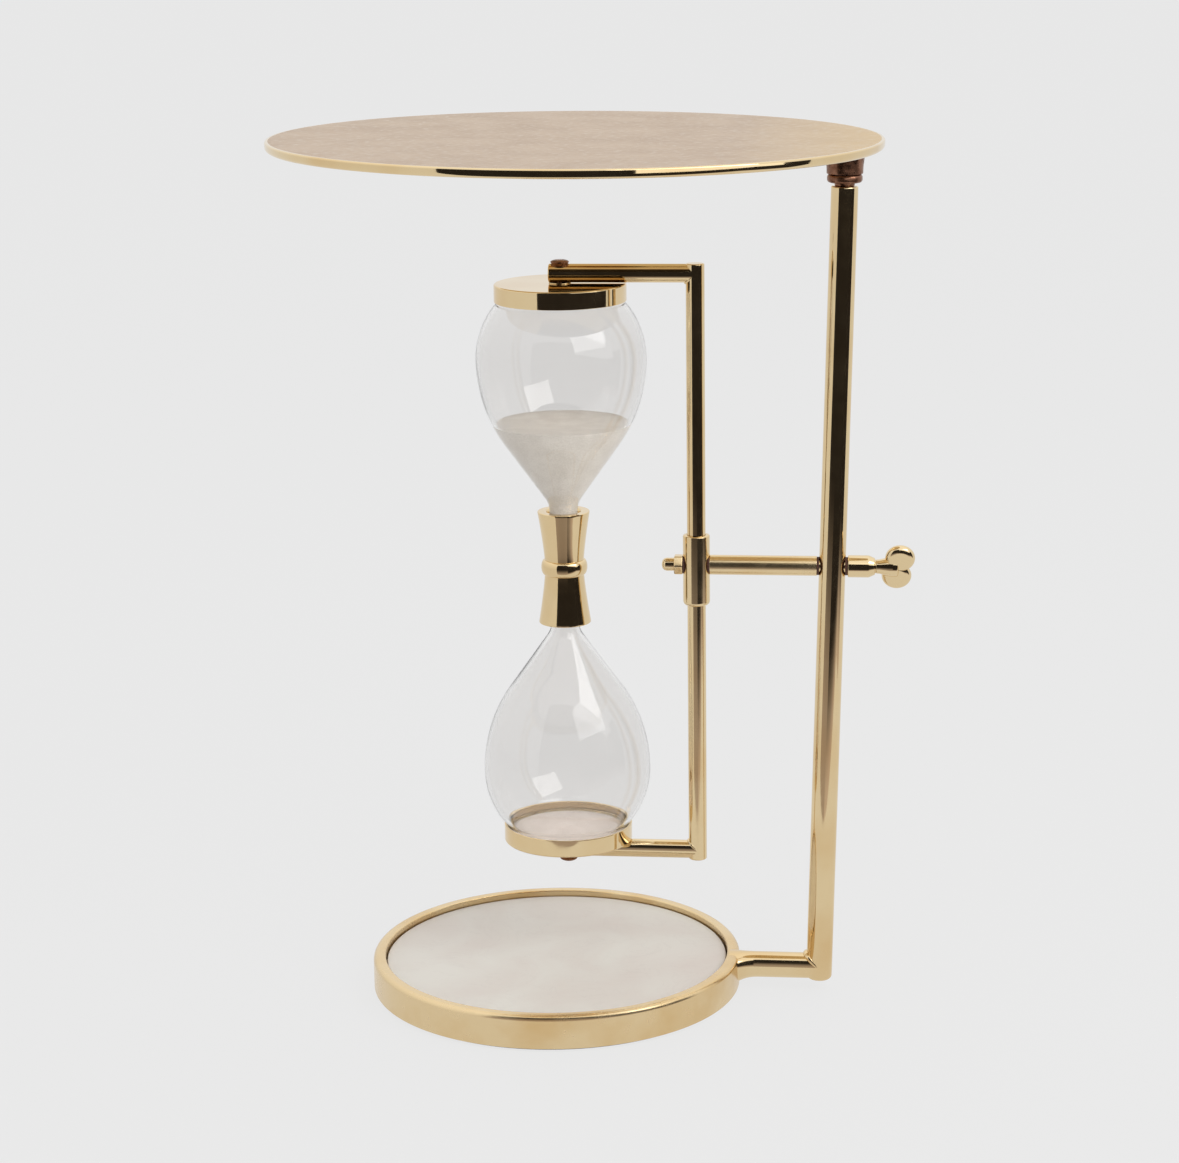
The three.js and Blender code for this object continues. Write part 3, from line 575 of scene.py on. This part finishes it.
# Top disc with its boss, washers and stud; heights are from the middle of the post's top end
head = dict(tilt=0.507, radius=113.5, thick=3.5, bossInset=14.5, bossLow=4.4, bossHeight=9.3,
            bossFoot=6.7, bossHead=7.8, rimRound=1.5, rimCrest=0.7)
bossWasher = dict(bore=2.6, radius=6.5, low=1.2, high=4.4, edge=1.2)
studWasher = dict(bore=2.6, radius=3.7, low=0.05, high=1.2, edge=0.25)
studSpec = dict(radius=2.5, length=20.0, foot=-9.0, edge=0.4)
washerMiddle = boxMiddle("disc_washer")
tilt = math.radians(head["tilt"])
washerHeight = (bossWasher["low"] + bossWasher["high"]) / 2
postTop = washerMiddle - washerHeight * Vector((math.sin(tilt), 0, math.cos(tilt)))
headPlace = Matrix.Translation(postTop * mm) @ Matrix.Rotation(tilt, 4, "Y")
plateLow = head["bossLow"] + head["bossHeight"]
plateTop = plateLow + head["thick"]


def onHead(shape):
    bmesh.ops.transform(shape, matrix=headPlace, verts=shape.verts)
    return shape


# The polished plate with its rim, and the cast skin on top as a fine mesh with low lumps
plate = turn([(0, plateLow), (head["radius"], plateLow), (head["radius"], plateTop - 0.05),
              (head["radius"] - 1.2, plateTop - 0.05), (0, plateTop - 0.05)], 256)
roundEdges(plate, head["rimRound"], 4, where=lambda p: p.z < plateLow + 0.2)
roundEdges(plate, head["rimCrest"], 3, where=lambda p: p.z > plateLow + 2 and math.hypot(p.x, p.y) > 113)
place(plate, head["bossInset"] - head["radius"])
finishPiece("disc_plate", onHead(plate), turnedBrass, "stand", "top_disc")

skinRings = [(head["radius"] - 0.55) * (1 - i / 90) for i in range(91)]
skin = turn([(0, plateTop - 0.6), (skinRings[0] - 0.5, plateTop - 0.6), (skinRings[0], plateTop - 0.12)] +
            [(r, plateTop) for r in skinRings[1:]], 256)
place(skin, head["bossInset"] - head["radius"])
finishPiece("disc_skin", onHead(skin), castTop, "stand", ())

bossTurn = turn([(0, head["bossLow"]), (head["bossFoot"], head["bossLow"]),
                 *[(head["bossFoot"] + (head["bossHead"] - head["bossFoot"]) * (i / 8) ** 1.6,
                    head["bossLow"] + head["bossHeight"] * (0.15 + 0.85 * i / 8)) for i in range(9)],
                 (head["bossHead"], plateLow + 1), (0, plateLow + 1)], 64)
roundEdges(bossTurn, 0.4, 2, where=lambda p: p.z < head["bossLow"] + 0.1)
finishPiece("disc_boss", onHead(bossTurn), bronzed, "stand", ())

washerShape = washer(bossWasher["bore"], bossWasher["radius"], bossWasher["low"], bossWasher["high"], 64)
roundEdges(washerShape, bossWasher["edge"], 5, where=lambda p: math.hypot(p.x, p.y) > 5)
finishPiece("boss_washer", onHead(washerShape), bronzed, "stand", "disc_washer")
smallWasher = washer(studWasher["bore"], studWasher["radius"], studWasher["low"], studWasher["high"])
roundEdges(smallWasher, studWasher["edge"], 2, where=lambda p: math.hypot(p.x, p.y) > 3)
finishPiece("stud_washer", onHead(smallWasher), bronzed, "stand", "post_washer")
stud = rod(studSpec["radius"], studSpec["length"], studSpec["edge"], studSpec["edge"], 40)
place(stud, z=studSpec["foot"])
finishPiece("stud", onHead(stud), fittingBrass, "stand", "disc_stud")
print("disc done")


# Glass, sand and collar; the glass is the same above and below its neck
glass = dict(bulb=32.0, belly=56.0, cone=35.5, neck=5.3, fillet=9.0, wall=1.4, rim=23.5, rimHeight=3.4,
             collarHalf=21.7, mouthOver=0.1, orifice=0.6, sandDepth=55.0, sandTop=2.0)
glassAxis = boxMiddle("upper_cap")
glassMiddle = (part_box("upper_bulb")[1].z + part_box("lower_bulb")[0].z) / 2 / mm
cone = math.radians(glass["cone"])
neckTop = glass["collarHalf"] - glass["mouthOver"]
coneFootRadius = glass["neck"] + glass["fillet"] * (1 - math.cos(cone))
coneHeadRadius = glass["bulb"] - glass["belly"] * (1 - math.cos(cone))
coneHead = neckTop + glass["fillet"] * math.sin(cone) + (coneHeadRadius - coneFootRadius) / math.tan(cone)
shoulder = coneHead + glass["belly"] * math.sin(cone)
rimFoot = shoulder + math.sqrt(glass["bulb"] ** 2 - glass["rim"] ** 2)
rimTop = rimFoot + glass["rimHeight"]


def bulbOutline(inward, low):
    neck = arcPoints(glass["neck"] + glass["fillet"], neckTop, glass["fillet"] + inward,
                     180, 180 - glass["cone"], 10)
    belly = arcPoints(glass["bulb"] - glass["belly"], shoulder, glass["belly"] - inward,
                      -glass["cone"], 0, 24)
    rimAngle = math.degrees(math.acos((glass["rim"] - inward) / (glass["bulb"] - inward)))
    crown = arcPoints(0, shoulder, glass["bulb"] - inward, 0, rimAngle, 16)[1:]
    return [(glass["neck"] - inward, low)] + neck + belly + crown


def onGlass(shape, turned=None):
    return place(shape, glassAxis.x, 0, glassMiddle, turned)


for name, node, turned in (("bulb_upper", "upper_bulb", None), ("bulb_lower", "lower_bulb", upsideDown)):
    outside = bulbOutline(0, glass["orifice"]) + [(glass["rim"], rimTop)]
    inside = bulbOutline(glass["wall"], glass["orifice"]) + [(glass["rim"] - glass["wall"], rimTop)]
    bulb = turn(outside + inside[::-1], 128)
    blown = finishPiece(name, onGlass(bulb, turned), clearGlass, "swing_frame", node,
                        sharpAngle=60)
    blown.visible_shadow = False

# The sand wets the glass, a hair into its wall, so that no gap mirrors; its top has a slight hollow
sandLevel = glass["orifice"] + glass["sandDepth"]
filling = [p for p in bulbOutline(glass["wall"] - 0.2, glass["orifice"] + 0.3) if p[1] < sandLevel]
edgeRadius = filling[-1][0] + (sandLevel - filling[-1][1]) * math.tan(cone) * 0.9
topCurve = [(edgeRadius * (1 - i / 12), sandLevel - glass["sandTop"] * (i / 12) ** 2 * 0.6)
            for i in range(13)]
sandShape = turn([(0, glass["orifice"] + 0.3)] + filling + topCurve, 128)
finishPiece("sand_heap", onGlass(sandShape), quartzSand, "swing_frame", "sand")
bedRadius = 21.2
bedShape = turn([(0, 0.02), (bedRadius, 0.02), (bedRadius, 0.15), (bedRadius * 0.7, 0.3),
                 (bedRadius * 0.35, 0.8), (bedRadius * 0.12, 1.4), (0, 1.6)], 96)
place(bedShape, glassAxis.x, 0, glassMiddle - rimTop)
# The bed gets the darker sand, which is painted shade
finishPiece("sand_layer", bedShape, shadedSandBed, "swing_frame", "sand_bed")

collar = dict(end=10.0, waist=7.5, bead=8.8, beadHalf=2.9, mouth=6.7, mouthDepth=2.2, flare=1.25, lip=0.5)
half = []
for i in range(9):  # the bead
    t = math.radians(90 - 90 * i / 8)
    half.append((collar["waist"] + (collar["bead"] - collar["waist"]) * math.sin(t),
                 collar["beadHalf"] * math.cos(t)))
for i in range(1, 21):  # from the waist out to the end
    s = i / 20
    half.append((collar["waist"] + (collar["end"] - collar["waist"]) * s ** collar["flare"],
                 collar["beadHalf"] + (glass["collarHalf"] - collar["beadHalf"]) * s))
outer = [(r, -z) for r, z in half[::-1]] + half[1:]
bore = glass["neck"] + 0.3
inner = [(collar["mouth"], glass["collarHalf"]), (bore, glass["collarHalf"] - collar["mouthDepth"]),
         (bore, collar["mouthDepth"] - glass["collarHalf"]), (collar["mouth"], -glass["collarHalf"])]
collarShape = turn(outer + inner, 96)
roundEdges(collarShape, collar["lip"], 3, 40, where=lambda p: abs(p.z) > glass["collarHalf"] - 0.1)
finishPiece("neck_ferrule", onGlass(collarShape), turnedBrass, "swing_frame", "neck_collar",
            30)
orificeSpec = dict(bore=1.2, radius=5.25, half=0.55)
orifice = washer(orificeSpec["bore"], orificeSpec["radius"], -orificeSpec["half"], orificeSpec["half"])
finishPiece("orifice", onGlass(orifice), fittingBrass, "swing_frame", "orifice_disc")
print("glass done")


# Caps, seals, washers and cap screws
cap = dict(seal=1.75, plate=1.55, wall=0.96, gap=0.3, edge=0.6, hole=1.65, washer=4.2, washerThick=0.4)
capRadius = glass["rim"] + cap["gap"] + cap["wall"]
sealTop = rimTop + cap["seal"]
capTop = sealTop + cap["plate"]
armFoot = capTop + cap["washerThick"]
barRadius = 3.5
frameHalf = armFoot + 2 * barRadius
screws = dict(upper=dict(head=3.5, rise=1.4, bowl=2.2), lower=dict(head=3.4, rise=1.9, bowl=0.9))
for end, turned in (("upper", None), ("lower", upsideDown)):
    capBore = glass["rim"] + cap["gap"]
    capShape = turn([(cap["hole"], sealTop), (capBore, sealTop), (capBore, rimFoot), (capRadius, rimFoot),
                     (capRadius, capTop), (cap["hole"], capTop)], 128)
    roundEdges(capShape, cap["edge"], 3, where=lambda p: p.z > capTop - 0.1 and math.hypot(p.x, p.y) > 20)
    roundEdges(capShape, 0.25, 2, where=lambda p: p.z < rimFoot + 0.1)
    finishPiece("cap_" + end, onGlass(capShape, turned), turnedBrass, "swing_frame",
                end + "_cap")
    sealShape = turn([(0, rimTop + 0.02), (glass["rim"] - 0.05, rimTop + 0.02),
                      (glass["rim"] - 0.05, sealTop - 0.02), (0, sealTop - 0.02)], 96)
    finishPiece("seal_" + end, onGlass(sealShape, turned), paleRubber, "swing_frame",
                end + "_seal")
    armWasher = washer(cap["hole"], cap["washer"], capTop, armFoot)
    roundEdges(armWasher, 0.12, 2, where=lambda p: math.hypot(p.x, p.y) > 3)
    finishPiece("arm_washer_" + end, onGlass(armWasher, turned), fittingBrass, "swing_frame",
                end + "_arm_washer")
    s = screws[end]
    rimHeight = frameHalf + s["rise"] * 0.35
    bowl = [(1.5 + (s["head"] - 1.5) * (i / 6) ** 0.7,
             frameHalf - s["bowl"] + (s["bowl"] + s["rise"] * 0.35) * i / 6) for i in range(7)]
    crown = arcPoints(0, 0, 1, 0, 90, 8)[1:]
    dome = [(r * s["head"], rimHeight + z * s["rise"] * 0.65) for r, z in crown]
    screwShape = turn([(0, sealTop), (1.5, sealTop)] + bowl + dome, 48)
    finishPiece("cap_screw_" + end + "_head", onGlass(screwShape, turned), bronzed, "swing_frame",
                end + "_cap_screw", 50)
print("caps done")


# Frame of round bar
uprightX = boxMiddle("upper_upright").x
frameBar = dict(overhang=4.2, endRound=0.5, hiddenRound=0.05, braze=0.9, nearer=0.2)
for end, side in (("upper", 1), ("lower", -1)):
    middle = glassMiddle + side * (armFoot + barRadius - frameBar["nearer"])  # all but touching its cap
    left = glassAxis.x - frameBar["overhang"]
    arm = rod(barRadius, uprightX - left, frameBar["endRound"], frameBar["hiddenRound"], 64)
    place(arm, left, 0, middle, alongX)
    finishPiece("arm_" + end, arm, barBrassX, "swing_frame", end + "_arm")
    low, high = (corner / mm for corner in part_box(end + "_upright"))
    footRound, headRound = frameBar["endRound"], frameBar["hiddenRound"]
    if side > 0:
        footRound, headRound = headRound, footRound
    upright = rod(barRadius, high.z - low.z, footRound, headRound, 64)
    place(upright, uprightX, 0, low.z)
    finishPiece("upright_" + end, upright, barBrassZ if side > 0 else woolBrassZ, "swing_frame",
                end + "_upright")
    braze = crevice(barRadius, frameBar["braze"], -side)
    place(braze, uprightX, 0, middle)
    finishPiece("arm_braze_" + end, braze, barBrassZ, "swing_frame", ())
print("frame done")


# Pivot, from the sleeve and axle to the wing nut
axleHeight = boxMiddle("axle").z


def onAxle(shape, left):
    return place(shape, left, 0, axleHeight, alongX)


def leftOf(node):
    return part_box(node)[0].x / mm


def rightOf(node):
    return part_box(node)[1].x / mm


blockLow, blockHigh = (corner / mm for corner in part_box("pivot_block"))
sleeve = dict(radius=5.1, bore=3.6, headRound=0.6, footRound=2.0, webRadius=3.58, webLength=8.6)
sleeveLength = blockHigh.z - blockLow.z
sleeveShape = turn([(sleeve["bore"], 0), (sleeve["radius"], 0), (sleeve["radius"], sleeveLength),
                    (sleeve["bore"], sleeveLength)], 72)
roundEdges(sleeveShape, sleeve["footRound"], 3, where=lambda p: p.z < 1 and math.hypot(p.x, p.y) > 4.5)
roundEdges(sleeveShape, sleeve["headRound"], 3,
           where=lambda p: p.z > sleeveLength - 1 and math.hypot(p.x, p.y) > 4.5)
place(sleeveShape, uprightX, 0, blockLow.z)
finishPiece("pivot_sleeve", sleeveShape, woolBrassZ, "swing_frame", "pivot_block")
plug = rod(sleeve["webRadius"], sleeve["webLength"], 0.1, 0.1, 40)
place(plug, uprightX, 0, axleHeight - sleeve["webLength"] / 2)
finishPiece("sleeve_web", plug, fittingBrass, "swing_frame", ())

axleLeft, axleRight = leftOf("axle"), rightOf("axle")
axleSpec = dict(radius=2.5, tailRound=1.9, tipRound=0.4, nutFlats=7.0)
axleShape = rod(axleSpec["radius"], axleRight - axleLeft, axleSpec["tailRound"], axleSpec["tipRound"], 48)
finishPiece("axle_rod", onAxle(axleShape, axleLeft), fittingBrass, "swing_frame", "axle")


# The hexagon has its edges rounded over, standing in for the cone that cuts a real nut's corners at both
# faces
def hexNut(acrossFlats, thick):
    corner = acrossFlats / 2 / math.cos(math.pi / 6)
    shape = bmesh.new()
    bmesh.ops.create_cone(shape, cap_ends=True, segments=6, radius1=corner * mm, radius2=corner * mm,
                          depth=thick * mm, matrix=Matrix.Translation((0, 0, thick / 2 * mm)))
    roundEdges(shape, 0.45, 2, 20)
    return shape


nut = hexNut(axleSpec["nutFlats"], rightOf("axle_nut") - leftOf("axle_nut"))
finishPiece("axle_hex_nut", onAxle(nut, leftOf("axle_nut")), fittingBrass, "swing_frame",
            "axle_nut")

# Thin washers between the pivot parts, drawn dark as painted shade for the gaps between them
darkWasher = dict(bore=2.55, radius=3.45, edge=0.15)
for node in ("nut_washer", "block_washer", "spacer_washer", "collar_washer"):
    ring = washer(darkWasher["bore"], darkWasher["radius"], 0, rightOf(node) - leftOf(node))
    roundEdges(ring, darkWasher["edge"], 2, where=lambda p: math.hypot(p.x, p.y) > 3)
    finishPiece(node + "_ring", onAxle(ring, leftOf(node)), gapShadeWashers, "swing_frame", node)

spacerSpec = dict(bore=2.6, radius=3.75, edge=0.3)
spacerLength = rightOf("spacer_tube") - leftOf("spacer_tube")
spacer = washer(spacerSpec["bore"], spacerSpec["radius"], 0, spacerLength, 64)
roundEdges(spacer, spacerSpec["edge"], 2, where=lambda p: math.hypot(p.x, p.y) > 3)
finishPiece("spacer", onAxle(spacer, leftOf("spacer_tube")), woolBrassX, "swing_frame",
            "spacer_tube")

clampLength = rightOf("clamp_collar") - leftOf("clamp_collar")
clampSpec = dict(bore=2.65, radius=4.2, taper=2.4, nose=3.1, edge=0.35)
clamp = turn([(clampSpec["bore"], 0), (clampSpec["radius"], 0),
              (clampSpec["radius"], clampLength - clampSpec["taper"]), (clampSpec["nose"], clampLength),
              (clampSpec["bore"], clampLength)], 64)
roundEdges(clamp, clampSpec["edge"], 3, 20, where=lambda p: math.hypot(p.x, p.y) > 3)
finishPiece("clamp", onAxle(clamp, leftOf("clamp_collar")), turnedBrass, "collar",
            "clamp_collar")

wing = dict(foot=2.7, head=3.7, hub=8.5, out=4.1, lobe=5.6, thick=5.0, round=2.3, lean=25)
wingLeft = leftOf("wing_nut")
hub = turn([(0, 0), (wing["foot"], 0), (wing["foot"], 1.2), (wing["head"], 5.0),
            (wing["head"], wing["hub"] - 0.4), (wing["head"] - 1.2, wing["hub"]), (0, wing["hub"])], 64)
roundEdges(hub, 0.4, 3, 15)
finishPiece("wing_hub", onAxle(hub, wingLeft), turnedBrass, "wing", "wing_nut")
for name, side, along in (("wing_front", 1, 9.0), ("wing_back", -1, 7.7)):
    edge = wing["round"]
    face = wing["lobe"] - edge
    lobe = turn([(0, -wing["thick"] / 2), *arcPoints(face, 0, edge, -78, 78, 14), (0, wing["thick"] / 2)], 72)
    place(lobe, turned=alongY)
    place(lobe, along, 0, wing["out"])
    turnBy = Matrix.Rotation(math.radians(wing["lean"]) + (0 if side > 0 else math.pi), 4, "X")
    place(lobe, wingLeft, 0, axleHeight, turnBy)
    finishPiece(name, lobe, turnedBrass, "wing", (), 60)
print("pivot done")

print("all pieces done")
